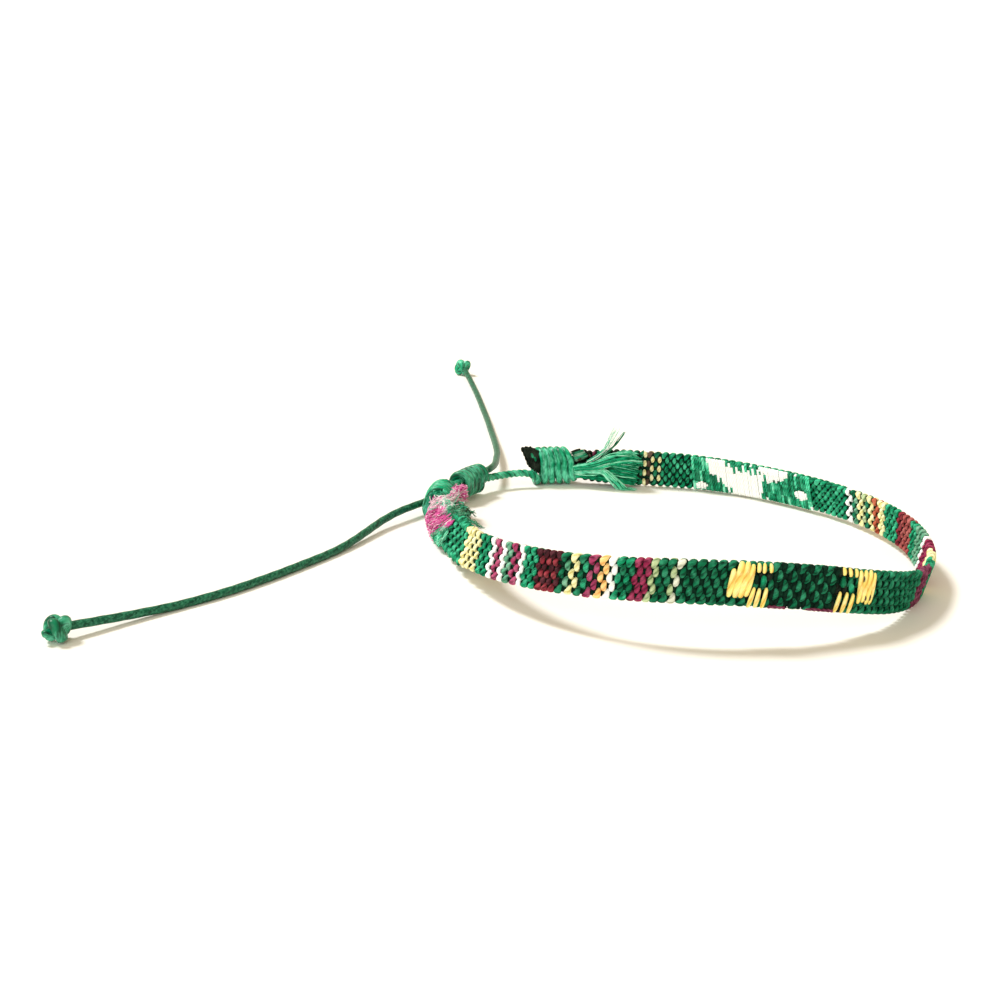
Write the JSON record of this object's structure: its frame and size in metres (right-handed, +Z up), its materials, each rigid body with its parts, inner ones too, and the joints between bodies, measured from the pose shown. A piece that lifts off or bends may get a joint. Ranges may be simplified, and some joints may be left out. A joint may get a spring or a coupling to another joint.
{
  "type": "woven cord bracelet with sliding knot",
  "caption": "Flat woven strip bent into a wrist loop, its folded ends lashed with round cord and closed by a sliding knot with knotted tails.",
  "frame": {"origin": "on the surface that the bracelet lies on, under the middle of the loop's box", "axes": "+Z up from the surface, the loop's hole along Z; +Y away from the loop's raised front, +X to the right along the front"},
  "size_m": [0.1142, 0.164, 0.0108],
  "materials": {
    "woven_cloth": "coarse weft-faced weave of matte green yarn with pale yellow, magenta, crimson, orange and white stripes and a yellow motif",
    "waxed_cord": "twisted waxed cord with a soft satin sheen",
    "loose_yarn": "frayed yarn ends, matte and fluffy"
  },
  "bodies": {
    "root": {"woven_band": "woven_cloth", "left_lashing_cord": "waxed_cord", "back_lashing_cord": "waxed_cord", "sliding_knot": "waxed_cord", "left_frayed_end": "loose_yarn", "back_frayed_end": "loose_yarn", "front_tail": "waxed_cord", "front_tail_knot": "waxed_cord", "back_tail": "waxed_cord", "back_tail_knot": "waxed_cord"}
  },
  "joints": []
}
